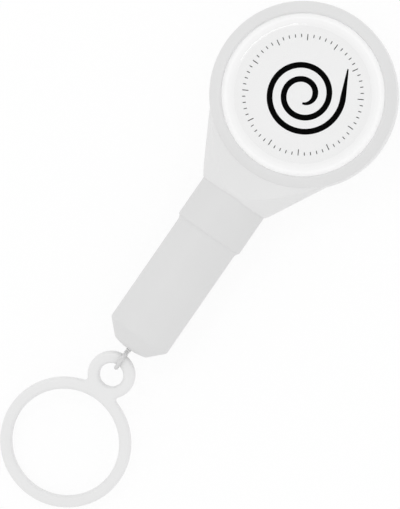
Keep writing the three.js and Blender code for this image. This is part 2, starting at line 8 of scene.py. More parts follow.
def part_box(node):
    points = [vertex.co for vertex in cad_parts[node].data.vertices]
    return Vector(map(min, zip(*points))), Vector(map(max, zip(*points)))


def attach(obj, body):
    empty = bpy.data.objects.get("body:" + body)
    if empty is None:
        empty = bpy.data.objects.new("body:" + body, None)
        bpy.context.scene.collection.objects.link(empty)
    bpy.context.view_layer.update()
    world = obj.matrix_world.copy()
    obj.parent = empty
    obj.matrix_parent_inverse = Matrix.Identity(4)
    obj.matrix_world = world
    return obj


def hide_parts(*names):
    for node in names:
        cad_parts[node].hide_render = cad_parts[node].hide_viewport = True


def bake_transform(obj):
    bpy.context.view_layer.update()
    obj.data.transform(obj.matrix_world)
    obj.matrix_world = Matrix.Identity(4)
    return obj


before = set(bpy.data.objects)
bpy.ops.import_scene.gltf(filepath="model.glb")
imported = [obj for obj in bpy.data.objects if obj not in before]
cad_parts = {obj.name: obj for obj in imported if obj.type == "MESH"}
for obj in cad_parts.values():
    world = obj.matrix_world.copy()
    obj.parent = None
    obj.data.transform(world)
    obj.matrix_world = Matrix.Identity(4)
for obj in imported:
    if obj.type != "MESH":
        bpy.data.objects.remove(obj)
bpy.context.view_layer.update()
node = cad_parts
MM = 0.001

# Table, light and camera. The tool lies on its back on a white table, under an even white studio dome
# with a small dark opening overhead for the lens, and one soft lamp high at the picture's upper left.
TABLE_HALF = 5.0
TABLE_LEVEL = -0.00005
TABLE_WHITE = (0.97, 0.97, 0.97, 1.0)
TABLE_GLOW = 0.88
DOME_LIGHT = 0.96
LENS_OPENING = math.radians(9)
LENS_FADE = math.radians(3)
LENS_DARK = 0.02
LAMP_POWER = 0.7
LAMP_WIDE = 0.5
LAMP_DEEP = 0.15
LAMP_TILT = math.radians(25)
LAMP_TURN = math.radians(120)
LAMP_DISTANCE = 1.1
IMAGE_TALL = 0.0967
VIEW_DISTANCE = 1.5
VIEW_TURN = math.radians(34.71)
VIEW_LEAN = math.radians(2.7)
VIEW_TARGET = Vector((0.886, -36.093, 8.0)) * MM
VIEW_CLIP = (0.1, 20.0)
SENSOR_WIDTH = 36.0


def seen_directly(tree, share):
    """A socket that is share for rays from the eye, mirrors and glass, and 0 for rays that carry light."""
    path = tree.nodes.new("ShaderNodeLightPath")
    glossy = tree.nodes.new("ShaderNodeMath")
    glossy.operation = "MAXIMUM"
    tree.links.new(path.outputs["Is Camera Ray"], glossy.inputs[0])
    tree.links.new(path.outputs["Is Glossy Ray"], glossy.inputs[1])
    clear = tree.nodes.new("ShaderNodeMath")
    clear.operation = "MAXIMUM"
    tree.links.new(glossy.outputs[0], clear.inputs[0])
    tree.links.new(path.outputs["Is Transmission Ray"], clear.inputs[1])
    scaled = tree.nodes.new("ShaderNodeMath")
    scaled.operation = "MULTIPLY"
    scaled.inputs[1].default_value = share
    tree.links.new(clear.outputs[0], scaled.inputs[0])
    return scaled.outputs[0]


def mesh_object(name, mesh_maker):
    mesh = bpy.data.meshes.new(name)
    mesh_maker.normal_update()
    mesh_maker.to_mesh(mesh)
    mesh_maker.free()
    made = bpy.data.objects.new(name, mesh)
    bpy.context.scene.collection.objects.link(made)
    return made


table_maker = bmesh.new()
bmesh.ops.create_grid(table_maker, x_segments=8, y_segments=8, size=TABLE_HALF)
table = mesh_object("table_top", table_maker)
table.location.z = TABLE_LEVEL
table_paint = bpy.data.materials.new("white_table")
table_paint.use_nodes = True
paint_tree = table_paint.node_tree
paint_tree.nodes.clear()
paint_out = paint_tree.nodes.new("ShaderNodeOutputMaterial")
paint_mix = paint_tree.nodes.new("ShaderNodeMixShader")
paint_matt = paint_tree.nodes.new("ShaderNodeBsdfDiffuse")
paint_matt.inputs["Color"].default_value = TABLE_WHITE
paint_glow = paint_tree.nodes.new("ShaderNodeEmission")
paint_glow.inputs["Strength"].default_value = 1.0
paint_tree.links.new(seen_directly(paint_tree, TABLE_GLOW), paint_mix.inputs[0])
paint_tree.links.new(paint_matt.outputs[0], paint_mix.inputs[1])
paint_tree.links.new(paint_glow.outputs[0], paint_mix.inputs[2])
paint_tree.links.new(paint_mix.outputs[0], paint_out.inputs["Surface"])
table.data.materials.append(table_paint)

studio = bpy.data.worlds.new("studio")
studio.use_nodes = True
bpy.context.scene.world = studio
studio_tree = studio.node_tree
studio_tree.nodes.clear()
studio_out = studio_tree.nodes.new("ShaderNodeOutputWorld")
studio_mix = studio_tree.nodes.new("ShaderNodeMixShader")
studio_light = studio_tree.nodes.new("ShaderNodeBackground")
studio_light.inputs["Color"].default_value = (1.0, 1.0, 1.0, 1.0)
studio_light.inputs["Strength"].default_value = DOME_LIGHT
studio_white = studio_tree.nodes.new("ShaderNodeBackground")
studio_white.inputs["Color"].default_value = (1.0, 1.0, 1.0, 1.0)
studio_where = studio_tree.nodes.new("ShaderNodeTexCoord")
studio_height = studio_tree.nodes.new("ShaderNodeSeparateXYZ")
studio_tree.links.new(studio_where.outputs["Generated"], studio_height.inputs[0])
studio_opening = studio_tree.nodes.new("ShaderNodeMapRange")
studio_opening.inputs["From Min"].default_value = math.cos(LENS_OPENING)
studio_opening.inputs["From Max"].default_value = math.cos(LENS_OPENING + LENS_FADE)
studio_opening.inputs["To Min"].default_value = LENS_DARK
studio_tree.links.new(studio_height.outputs["Z"], studio_opening.inputs["Value"])
studio_tree.links.new(studio_opening.outputs["Result"], studio_white.inputs["Strength"])
studio_tree.links.new(seen_directly(studio_tree, 1.0), studio_mix.inputs[0])
studio_tree.links.new(studio_light.outputs[0], studio_mix.inputs[1])
studio_tree.links.new(studio_white.outputs[0], studio_mix.inputs[2])
studio_tree.links.new(studio_mix.outputs[0], studio_out.inputs["Surface"])

camera_data = bpy.data.cameras.new("camera")
camera_data.sensor_width = SENSOR_WIDTH
camera_data.lens = SENSOR_WIDTH * VIEW_DISTANCE / IMAGE_TALL
camera_data.clip_start, camera_data.clip_end = VIEW_CLIP
camera = bpy.data.objects.new("camera", camera_data)
view_flat = Vector((math.cos(VIEW_TURN), math.sin(VIEW_TURN), 0.0))
view_up = Vector((-math.sin(VIEW_TURN), math.cos(VIEW_TURN), 0.0))
view_back = view_flat * math.sin(VIEW_LEAN) + Vector((0.0, 0.0, math.cos(VIEW_LEAN)))
view_right = view_up.cross(view_back)
camera_turn = Matrix((view_right, view_up, view_back)).transposed().to_4x4()
camera.matrix_world = Matrix.Translation(VIEW_TARGET + view_back * VIEW_DISTANCE) @ camera_turn
bpy.context.scene.collection.objects.link(camera)
bpy.context.scene.camera = camera

lamp_data = bpy.data.lights.new("soft_lamp", "AREA")
lamp_data.shape = "RECTANGLE"
lamp_data.size = LAMP_WIDE
lamp_data.size_y = LAMP_DEEP
lamp_data.energy = LAMP_POWER
lamp = bpy.data.objects.new("soft_lamp", lamp_data)
lamp_out = view_flat * math.cos(LAMP_TURN) + view_up * math.sin(LAMP_TURN)
lamp_back = lamp_out * math.sin(LAMP_TILT) + Vector((0.0, 0.0, math.cos(LAMP_TILT)))
lamp_side = Vector((0.0, 0.0, 1.0)).cross(lamp_out)
lamp_turn = Matrix((lamp_side, lamp_back.cross(lamp_side), lamp_back)).transposed().to_4x4()
lamp.matrix_world = Matrix.Translation(VIEW_TARGET + lamp_back * LAMP_DISTANCE) @ lamp_turn
bpy.context.scene.collection.objects.link(lamp)
bpy.context.scene.view_settings.view_transform = "Standard"

# Rear shell: the back half of the case and shoulder, injection-moulded in satin white ABS with a 1.6 mm
# wall. It carries the tongue that locates the front half, a flatted socket for the arbor, two screw bosses
# and the neck for the collar.
CASE_RADIUS = 17.82
CASE_WALL = 1.6
CASE_SPLIT = 7.5
SPLIT_GAP = 0.06
CASE_EDGE = 1.1
END_EDGE = 1.3
SHOULDER_END = 23.55
SHOULDER_HALF = 7.165
SHOULDER_ROOT = math.radians(47.7)
SHOULDER_CORNER = 0.6
CORNER_LEAST = 0.1
ARC_STEPS = 168
SIDE_STEPS = 10
END_STEPS = 8
HOLLOW_END = 17.6
TONGUE_INSET = 0.9
TONGUE_TOP = 8.3
TONGUE_BREAK = 0.1
RIM_BREAK = (0.04, 0.14)
RIM_BAND = 2.5
RIM_FLAT = 0.7
HOLLOW_ROUND = (0.12, 0.4)
NECK_BORE = 5.26
NECK_GROOVE = (6.16, 18.48, 19.92)
NECK_SEAT = (6.955, 23.25)
NECK_REACH = (16.6, 24.2)
RELIEF_RADIUS = 7.03
RELIEF_SLOPE = 0.7
RELIEF_RUN = (13.0, 24.2)
BOSS_RADIUS = 2.05
SCREW_HOLE = 0.95
SCREW_SIDES = 40
SINK_RADIUS = 1.8
SINK_DEPTH = (0.25, 1.35)
SINK_BREAK = (0.12, -0.02, 0.1)
HOLE_RUN = (-1.0, 8.8)
SOCKET_OUTER = 5.02
SOCKET_ROOM = (3.82, 3.02)
SOCKET_TOP = 2.4
SOCKET_CLEAR = 3.2
SOCKET_SIDES = 48
AXIS_LEVEL = 7.5
CASE_WHITE = (0.775, 0.775, 0.775)
CASE_DULL = 0.42
SLIVER = 0.0000005


def curved(first, bend, last, steps=5):
    """Points on a curve from first to last that is drawn towards bend."""
    shares = [step / steps for step in range(steps + 1)]
    return [first * (1 - t) ** 2 + bend * (2 * t * (1 - t)) + last * t ** 2 for t in shares]


def softened(corners, steps=5):
    """Corner points (a, b, round) as a smooth line, each corner cut back by its round and curved."""
    line = []
    count = len(corners)
    for index, (a, b, reach) in enumerate(corners):
        here = Vector((a, b))
        if reach == 0:
            line.append((a, b))
            continue
        before = Vector(corners[index - 1][:2]) - here
        after = Vector(corners[(index + 1) % count][:2]) - here
        first = here + before.normalized() * reach
        last = here + after.normalized() * reach
        line += [(point.x, point.y) for point in curved(first, here, last, steps)]
    return line


shoulder_root = Vector((math.sin(SHOULDER_ROOT), -math.cos(SHOULDER_ROOT))) * CASE_RADIUS
shoulder_tip = Vector((SHOULDER_HALF, -SHOULDER_END))
side_way = (shoulder_root - shoulder_tip).normalized()
side_out = Vector((side_way.y, -side_way.x))
side_reach = side_out.dot(shoulder_root)
root_way = 1 if side_way.dot(shoulder_root) > 0 else -1


def case_outline(inset, end):
    """Outline of case and shoulder seen from the front, drawn in by inset, always with the same points."""
    radius = CASE_RADIUS - inset
    across = side_reach - inset
    root = side_out * across + side_way * (root_way * math.sqrt(radius ** 2 - across ** 2))
    half = (across + side_out.y * end) / side_out.x
    tip = Vector((half, -end))
    corner = max(SHOULDER_CORNER - inset / 2, CORNER_LEAST)
    on_side = tip + side_way * corner
    on_end = Vector((half - corner, -end))
    right = curved(on_end, tip, on_side)
    right += [on_side.lerp(root, step / SIDE_STEPS) for step in range(1, SIDE_STEPS)]
    start = math.atan2(root.y, root.x)
    sweep = math.pi - 2 * start
    turns = [start + sweep * step / ARC_STEPS for step in range(ARC_STEPS + 1)]
    round_case = [Vector((math.cos(turn), math.sin(turn))) * radius for turn in turns]
    left = [Vector((-p.x, p.y)) for p in reversed(right)]
    across_end = [left[-1].lerp(right[0], step / END_STEPS) for step in range(1, END_STEPS)]
    return round_case + left + across_end + right


def lofted(name, loops):
    """A closed form through loops of equal point count, capped flat at both ends. Millimetres in."""
    maker = bmesh.new()
    rows = [[maker.verts.new((x * MM, y * MM, z * MM)) for x, y, z in loop] for loop in loops]
    for low, high in zip(rows, rows[1:]):
        for k in range(len(low)):
            n = (k + 1) % len(low)
            maker.faces.new((low[k], low[n], high[n], high[k]))
    maker.faces.new(reversed(rows[0]))
    maker.faces.new(rows[-1])
    bmesh.ops.recalc_face_normals(maker, faces=maker.faces)
    return mesh_object(name, maker)


def turned(name, profile, place, sides=96):
    """A turned form: profile points (radius, height) swept round, each set down by place. Millimetres in."""
    maker = bmesh.new()
    rows = []
    for radius, height in profile:
        if radius == 0:
            x, y, z = place(0.0, 0.0, height)
            rows.append([maker.verts.new((x * MM, y * MM, z * MM))])
            continue
        row = []
        for k in range(sides):
            turn = 2 * math.pi * k / sides
            x, y, z = place(radius * math.cos(turn), radius * math.sin(turn), height)
            row.append(maker.verts.new((x * MM, y * MM, z * MM)))
        rows.append(row)
    pairs = list(zip(rows, rows[1:]))
    if len(rows[0]) > 1 and len(rows[-1]) > 1:
        pairs.append((rows[-1], rows[0]))
    for low, high in pairs:
        for k in range(sides):
            n = (k + 1) % sides
            corners = [low[k % len(low)], low[n % len(low)], high[n % len(high)], high[k % len(high)]]
            unique = list(dict.fromkeys(corners))
            if len(unique) > 2:
                maker.faces.new(unique)
    bmesh.ops.recalc_face_normals(maker, faces=maker.faces)
    return mesh_object(name, maker)


def upright(x, y, height):
    return x, y, height


def along_barrel(x, y, distance):
    return x, -distance, y + AXIS_LEVEL


def at_screw(side):
    low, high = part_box("case_screw_left" if side < 0 else "case_screw_right")
    middle = (low + high) / (2 * MM)
    return lambda x, y, height: (x + middle.x, y + middle.y, height)


def worked(target, tool, operation):
    """Joins a form to target or cuts it away, and takes the tool off the bench."""
    step = target.modifiers.new("work", "BOOLEAN")
    step.operation = operation
    step.solver = "EXACT"
    step.object = tool
    bpy.context.view_layer.update()
    ready = target.evaluated_get(bpy.context.evaluated_depsgraph_get())
    mesh = bpy.data.meshes.new_from_object(ready)
    clean = bmesh.new()
    clean.from_mesh(mesh)
    bmesh.ops.dissolve_degenerate(clean, dist=SLIVER, edges=clean.edges)
    clean.to_mesh(mesh)
    clean.free()
    target.modifiers.clear()
    target.data = mesh
    bpy.data.objects.remove(tool)
    return target


def smoothed(piece, angle=32):
    """Smooth shading with crisp edges, weighted so that flats stay flat beside their rounds."""
    piece.data.shade_smooth()
    piece.data.set_sharp_from_angle(angle=math.radians(angle))
    even = piece.modifiers.new("even_normals", "WEIGHTED_NORMAL")
    even.keep_sharp = True
    even.weight = 90
    return piece


def bare_finish(name):
    """A new material: itself, its node tree, its shader and the piece's own coordinates."""
    finish = bpy.data.materials.new(name)
    finish.use_nodes = True
    tree = finish.node_tree
    where = tree.nodes.new("ShaderNodeTexCoord")
    return finish, tree, tree.nodes["Principled BSDF"], where.outputs["Object"]


def noise(tree, where, scale, detail=2.0):
    """A noise pattern over the piece."""
    pattern = tree.nodes.new("ShaderNodeTexNoise")
    pattern.inputs["Scale"].default_value = scale
    pattern.inputs["Detail"].default_value = detail
    tree.links.new(where, pattern.inputs["Vector"])
    return pattern.outputs["Fac"]


def tinted(tree, shader, pattern, colour, darker, paler):
    """Colours the shader by a pattern, from a darker to a paler share of colour, and gives the two stops."""
    tone = tree.nodes.new("ShaderNodeValToRGB")
    tone.color_ramp.elements[0].color = [c * darker for c in colour] + [1.0]
    tone.color_ramp.elements[1].color = [min(c * paler, 1.0) for c in colour] + [1.0]
    tree.links.new(pattern, tone.inputs["Fac"])
    tree.links.new(tone.outputs["Color"], shader.inputs["Base Color"])
    return tone.color_ramp.elements


def dulled(tree, shader, pattern, low, high):
    """Sets the roughness by a pattern, between low and high."""
    span = tree.nodes.new("ShaderNodeMapRange")
    span.inputs["To Min"].default_value = low
    span.inputs["To Max"].default_value = high
    tree.links.new(pattern, span.inputs["Value"])
    tree.links.new(span.outputs["Result"], shader.inputs["Roughness"])


def embossed(tree, shader, pattern, strength, depth):
    """Raises a pattern as fine relief, depth in metres."""
    relief = tree.nodes.new("ShaderNodeBump")
    relief.inputs["Strength"].default_value = strength
    relief.inputs["Distance"].default_value = depth
    tree.links.new(pattern, relief.inputs["Height"])
    tree.links.new(relief.outputs["Normal"], shader.inputs["Normal"])


def moulded_plastic(name, colour, dull, cloud=70.0, grain=2600.0):
    """Moulded plastic: a faint cloudiness in the colour, an uneven sheen and a fine spark-eroded grain."""
    finish, tree, shader, where = bare_finish(name)
    stops = tinted(tree, shader, noise(tree, where, cloud, 4.0), colour, 0.985, 1.012)
    stops[0].position = 0.3
    stops[1].position = 0.7
    dulled(tree, shader, noise(tree, where, grain * 0.2, 3.0), dull - 0.06, dull + 0.06)
    embossed(tree, shader, noise(tree, where, grain), 0.35, 0.000012)
    return finish


def fitted(piece, finish, body, slot, *stands_for):
    """Gives a piece its finish and its body, and hides the solids that it stands for. The slot argument is
    not used.
    """
    piece.data.materials.clear()
    piece.data.materials.append(finish)
    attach(piece, body)
    if stands_for:
        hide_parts(*stands_for)
    return piece


def outer_loop(inset, level):
    return [(p.x, p.y, level) for p in case_outline(inset, SHOULDER_END - END_EDGE * inset)]


def inner_loop(inset, level):
    return [(p.x, p.y, level) for p in case_outline(inset, HOLLOW_END + CASE_WALL - inset)]


def edge_round(steps=8):
    turns = [math.pi / 2 * k / steps for k in range(steps + 1)]
    return [(CASE_EDGE * (1 - math.sin(turn)), CASE_EDGE * (1 - math.cos(turn))) for turn in turns]


def neck_tool():
    groove_radius, groove_start, groove_end = NECK_GROOVE
    profile = [
        (0, NECK_REACH[0]), (NECK_BORE, NECK_REACH[0]), (NECK_BORE, groove_start),
        (groove_radius, groove_start), (groove_radius, groove_end), (NECK_BORE, groove_end),
        (NECK_BORE, NECK_SEAT[1]), NECK_SEAT, (NECK_SEAT[0], NECK_REACH[1]), (0, NECK_REACH[1]),
    ]
    return turned("neck_tool", profile, along_barrel)


def relief_tool():
    """A ring that takes a cone off the corners of the shoulder's end, which fall to the round collar."""
    start, end = RELIEF_RUN
    wide = RELIEF_RADIUS + RELIEF_SLOPE * (SHOULDER_END - start)
    profile = [
        (RELIEF_RADIUS, end), (RELIEF_RADIUS, SHOULDER_END), (wide, start),
        (CASE_RADIUS, start), (CASE_RADIUS, end),
    ]
    return turned("relief_tool", profile, along_barrel)


def foot_tool():
    """The room with two flats for the arbor's foot, which keep the arbor from turning."""
    radius, flat = SOCKET_ROOM
    turns = [2 * math.pi * k / SOCKET_SIDES for k in range(SOCKET_SIDES)]
    outline = [(max(-flat, min(flat, radius * math.cos(turn))), radius * math.sin(turn)) for turn in turns]
    return lofted("foot_tool", [[(x, y, level) for x, y in outline] for level in (CASE_WALL, SOCKET_CLEAR)])


rear_rim = CASE_SPLIT - SPLIT_GAP
break_near, break_far = RIM_BREAK
round_near, round_far = HOLLOW_ROUND
rear_loops = [outer_loop(inset, level) for inset, level in edge_round()]
rear_loops += [outer_loop(0, rear_rim - RIM_BAND), outer_loop(0, rear_rim - break_far)]
rear_loops += [outer_loop(break_near, rear_rim - break_near), outer_loop(break_far, rear_rim)]
rear_loops += [outer_loop(RIM_FLAT, rear_rim), inner_loop(TONGUE_INSET, rear_rim)]
rear_loops += [inner_loop(TONGUE_INSET, TONGUE_TOP - TONGUE_BREAK)]
rear_loops += [inner_loop(TONGUE_INSET + TONGUE_BREAK, TONGUE_TOP), inner_loop(CASE_WALL, TONGUE_TOP)]
rear_loops += [inner_loop(CASE_WALL, CASE_WALL + round_far)]
rear_loops += [inner_loop(CASE_WALL + round_near, CASE_WALL + round_near)]
rear_loops += [inner_loop(CASE_WALL + round_far, CASE_WALL)]
rear_shell = lofted("rear_case", rear_loops)
socket = [(0, CASE_WALL / 2), (SOCKET_OUTER, CASE_WALL / 2), (SOCKET_OUTER, SOCKET_TOP), (0, SOCKET_TOP)]
worked(rear_shell, turned("socket", socket, upright, SOCKET_SIDES), "UNION")
worked(rear_shell, foot_tool(), "DIFFERENCE")
rear_boss = [(0, CASE_WALL / 2), (BOSS_RADIUS, CASE_WALL / 2), (BOSS_RADIUS, rear_rim), (0, rear_rim)]
for side in (-1, 1):
    worked(rear_shell, turned("boss", rear_boss, at_screw(side), SCREW_SIDES), "UNION")
worked(rear_shell, neck_tool(), "DIFFERENCE")
worked(rear_shell, relief_tool(), "DIFFERENCE")
hole_start, hole_end = HOLE_RUN
sink_flat, sink_floor = SINK_DEPTH
lip_wide, lip_start, lip_end = SINK_BREAK
screw_hole = [
    (0, hole_start), (SINK_RADIUS + lip_wide, hole_start), (SINK_RADIUS + lip_wide, lip_start),
    (SINK_RADIUS, lip_end), (SINK_RADIUS, sink_flat), (SCREW_HOLE, sink_floor),
    (SCREW_HOLE, hole_end), (0, hole_end),
]
for side in (-1, 1):
    worked(rear_shell, turned("screw_tool", screw_hole, at_screw(side), SCREW_SIDES), "DIFFERENCE")
smoothed(rear_shell)
case_plastic = moulded_plastic("satin_white_abs", CASE_WHITE, CASE_DULL)
fitted(rear_shell, case_plastic, "handle", "case_white", "rear_shell")

# Arbor: the fixed post that the spool turns on, turned from natural acetal. Its flatted foot sits in a
# socket of the rear shell and its slot holds the inner tab of the spring.
ACETAL = (0.80, 0.79, 0.745)
natural_acetal = moulded_plastic("natural_acetal", ACETAL, dull=0.5, cloud=160.0, grain=1400.0)


def refinished(name, finish):
    """Gives a solid that keeps its shape its own finish."""
    node[name].data.materials.clear()
    node[name].data.materials.append(finish)


refinished("reel_arbor", natural_acetal)

# Spool and its cover, both moulded in acetal. The spool is open at the rear for the spring, and the cover
# snaps into its mouth and keeps the spring in.
refinished("spool", natural_acetal)
refinished("spring_cover", natural_acetal)

# Power spring: a rolled strip of blued spring steel, coiled flat. One tab is hooked in the arbor, the
# other in the spool, so that drawing out the thread winds it up.
SPRING_STEEL = (0.27, 0.29, 0.31)


def rolled_steel(name, colour, dull, lines):
    """Bare steel with fine rolling or turning lines across one direction."""
    finish, tree, shader, where = bare_finish(name)
    shader.inputs["Metallic"].default_value = 1.0
    stretch = tree.nodes.new("ShaderNodeMapping")
    stretch.inputs["Scale"].default_value = lines
    tree.links.new(where, stretch.inputs["Vector"])
    streak = noise(tree, stretch.outputs["Vector"], 900.0, 3.0)
    tinted(tree, shader, streak, colour, 0.86, 1.1)
    dulled(tree, shader, streak, dull - 0.08, dull + 0.1)
    embossed(tree, shader, streak, 0.25, 0.00001)
    return finish


blued_steel = rolled_steel("blued_spring_steel", SPRING_STEEL, dull=0.34, lines=(1.0, 1.0, 0.08))
refinished("power_spring", blued_steel)

# Thread: twisted polyester in three plies, pale grey before it is inked. One length of it lies wound on
# the spool, runs through the guide and the felt, leaves the nose and ends in a loop on the ring.
THREAD_RADIUS = 0.29
PLIES = 3
PLY_DEPTH = 0.04
PLY_TURN = 2.4
WIND_RADIUS = 10.0
WIND_TURNS = 6
TURN_STEPS = 150
WIND_PITCH = 1.08
WIND_TOP = 10.64
GUIDE_BEND = 18.6
BEND_REACH = 1.5
BEND_STEPS = 10
FEED_START = 0.73
FEED_END = 26.3
THREAD_GREY = (0.72, 0.72, 0.72)


def spun_thread(name, path, radius=THREAD_RADIUS, ply=PLY_DEPTH, sides=12):
    """A three-ply thread along path points in millimetres, its plies turned once in PLY_TURN."""
    points = [Vector(p) for p in path]
    ways = []
    for k in range(len(points)):
        ways.append((points[min(k + 1, len(points) - 1)] - points[max(k - 1, 0)]).normalized())
    helper = Vector((0, 0, 1)) if abs(ways[0].z) < 0.9 else Vector((1, 0, 0))
    side = ways[0].cross(helper).normalized()
    rows = []
    travelled = 0.0
    for k, (point, way) in enumerate(zip(points, ways)):
        if k:
            travelled += (point - points[k - 1]).length
        side = (side - way * side.dot(way)).normalized()
        other = way.cross(side)
        row = []
        for s in range(sides):
            turn = 2 * math.pi * s / sides
            reach = radius + ply * math.cos(PLIES * (turn - 2 * math.pi * travelled / PLY_TURN))
            row.append(point + side * (reach * math.cos(turn)) + other * (reach * math.sin(turn)))
        rows.append(row)
    thread = lofted(name, rows)
    thread.data.shade_smooth()
    return thread


def spun_polyester(name, colour):
    """Matt spun yarn: fine filaments along the plies and a soft fuzz in the tone."""
    finish, tree, shader, where = bare_finish(name)
    shader.inputs["Sheen Weight"].default_value = 0.3
    shader.inputs["Specular IOR Level"].default_value = 0.25
    hair = noise(tree, where, 5200.0, 4.0)
    tinted(tree, shader, hair, colour, 0.8, 1.12)
    dulled(tree, shader, hair, 0.75, 0.95)
    embossed(tree, shader, hair, 0.5, 0.00003)
    return finish


def straight(first, last, step=0.25):
    first, last = Vector(first), Vector(last)
    count = max(2, round((last - first).length / step))
    return [first.lerp(last, k / count) for k in range(count + 1)]


thread_yarn = spun_polyester("grey_thread", THREAD_GREY)
leave_turn = math.acos(WIND_RADIUS / GUIDE_BEND) - math.pi / 2
wind_path = []
wind_steps = WIND_TURNS * TURN_STEPS
for step in range(wind_steps, -1, -1):
    turn = leave_turn + 2 * math.pi * WIND_TURNS * step / wind_steps
    level = WIND_TOP - WIND_PITCH * WIND_TURNS * step / wind_steps
    wind_path.append((WIND_RADIUS * math.cos(turn), WIND_RADIUS * math.sin(turn), level))
winding = spun_thread("wound_thread", wind_path, sides=9)
fitted(winding, thread_yarn, "reel", "thread", "thread_winding")
leave = Vector((WIND_RADIUS * math.cos(leave_turn), WIND_RADIUS * math.sin(leave_turn), WIND_TOP))
bend = Vector((0, -GUIDE_BEND, AXIS_LEVEL))
inward = (bend - leave).normalized()
bend_in = bend - inward * BEND_REACH
bend_out = bend + Vector((0, -BEND_REACH, 0))
feed_path = straight(leave + inward * FEED_START, bend_in)
feed_path += curved(bend_in, bend, bend_out, BEND_STEPS)[1:-1]
feed_path += straight(bend_out, (0, -FEED_END, AXIS_LEVEL))
feed = spun_thread("fed_thread", feed_path)
fitted(feed, thread_yarn, "handle", "thread", "thread_feed")

# Collar: a turned-looking moulding in white polypropylene. Its flanged tail is clamped between the two
# shells, the acetal guide bush sits in that tail, and its socket takes the spigot of the barrel.
COLLAR_RADIUS = 6.94
COLLAR_TAIL = (5.14, 18.6, 19.8)
COLLAR_FLANGE = 6.04
COLLAR_RUN = (23.27, 32.1)
COLLAR_SOCKET = (5.42, 24.9)
COLLAR_BORE = 1.97
BARREL_WHITE = (0.718, 0.718, 0.718)
BARREL_DULL = 0.5
BARREL_CLOUD = 55.0
BARREL_GRAIN = 2200.0
tail_radius, tail_start, flange_end = COLLAR_TAIL
collar_start, collar_end = COLLAR_RUN
socket_radius, socket_floor = COLLAR_SOCKET
collar_profile = softened([
    (COLLAR_BORE, tail_start, 0.15), (COLLAR_FLANGE, tail_start, 0.2), (COLLAR_FLANGE, flange_end, 0.2),
    (tail_radius, flange_end, 0.15), (tail_radius, collar_start, 0), (COLLAR_RADIUS, collar_start, 0.05),
    (COLLAR_RADIUS, collar_end, 0.5), (socket_radius, collar_end, 0.12), (socket_radius, socket_floor, 0.12),
    (COLLAR_BORE, socket_floor, 0.15),
])
collar = smoothed(turned("collar", collar_profile, along_barrel))
barrel_plastic = moulded_plastic(
    "satin_white_polypropylene", BARREL_WHITE, BARREL_DULL, BARREL_CLOUD, BARREL_GRAIN)
fitted(collar, barrel_plastic, "handle", "barrel_white", "neck_collar")
refinished("thread_guide", natural_acetal)

# Barrel: a round white polypropylene tube pushed into the collar by its spigot, with a small flare where
# they meet. The nose is chamfered, its end is slightly domed, and a flared hole lets the thread out.
BARREL_RADIUS = 6.4
BARREL_RUN = (31.98, 58.6)
BARREL_FLARE = (0.33, 0.5)
SPIGOT = (5.30, 25.0)
BARREL_BORE = (4.40, 54.2)
NOSE_CHAMFER = 2.9
NOSE_DOME = 0.45
NOSE_HOLE = 0.75
NOSE_FLARE = 0.5
barrel_start, nose_end = BARREL_RUN
flare_rise, flare_length = BARREL_FLARE
spigot_radius, spigot_start = SPIGOT
bore_radius, bore_end = BARREL_BORE
nose_face = BARREL_RADIUS - NOSE_CHAMFER
dome_start = nose_end - NOSE_DOME
nose_dome = [(nose_face * (1 - t), dome_start + NOSE_DOME * (1 - (1 - t) ** 2), 0) for t in (0.25, 0.5)]
barrel_profile = softened([
    (bore_radius, spigot_start, 0.15), (spigot_radius, spigot_start, 0.25), (spigot_radius, barrel_start, 0),
    (BARREL_RADIUS + flare_rise, barrel_start, 0), (BARREL_RADIUS, barrel_start + flare_length, 0.45),
    (BARREL_RADIUS, dome_start - NOSE_CHAMFER, 0.4),
    (nose_face, dome_start, 0.4), *nose_dome, (NOSE_HOLE + NOSE_FLARE, nose_end - 0.01, 0.12),
    (NOSE_HOLE, nose_end - NOSE_FLARE, 0.2), (NOSE_HOLE, bore_end, 0), (bore_radius, bore_end, 0.2),
])
barrel = smoothed(turned("barrel_tube", barrel_profile, along_barrel))
fitted(barrel, barrel_plastic, "handle", "barrel_white", "barrel")

# What the barrel holds: an acetal plug, a felt soaked in dark ink that the thread is drawn through, and a
# soft silicone wiper behind the nose. All are pressed in from the spigot end.
INK_DARK = (0.05, 0.035, 0.03)
FELT_RUN = (27.4, 51.6)
FELT_RADIUS = 4.28
FELT_HOLE = 0.68
FELT_EDGE = (0.3, 0.25)
FELT_INSET = 0.09
FELT_WAVE = 0.06
FELT_WAVES = 37
FELT_STEPS = 40
FELT_SIDES = 48
SILICONE_GREY = (0.48, 0.50, 0.53)
refinished("felt_plug", natural_acetal)
soft_silicone = moulded_plastic("soft_silicone", SILICONE_GREY, dull=0.62, cloud=300.0, grain=1800.0)
refinished("nose_wiper", soft_silicone)


def soaked_felt(name, colour):
    """Pressed wool felt full of ink: matted fibres, matt where dry and darker where wet."""
    finish, tree, shader, where = bare_finish(name)
    fibres = tree.nodes.new("ShaderNodeTexVoronoi")
    fibres.inputs["Scale"].default_value = 2400.0
    tree.links.new(where, fibres.inputs["Vector"])
    matted = fibres.outputs["Distance"]
    tinted(tree, shader, matted, colour, 0.6, 1.8)
    dulled(tree, shader, matted, 0.55, 0.95)
    embossed(tree, shader, matted, 1.0, 0.0001)
    return finish


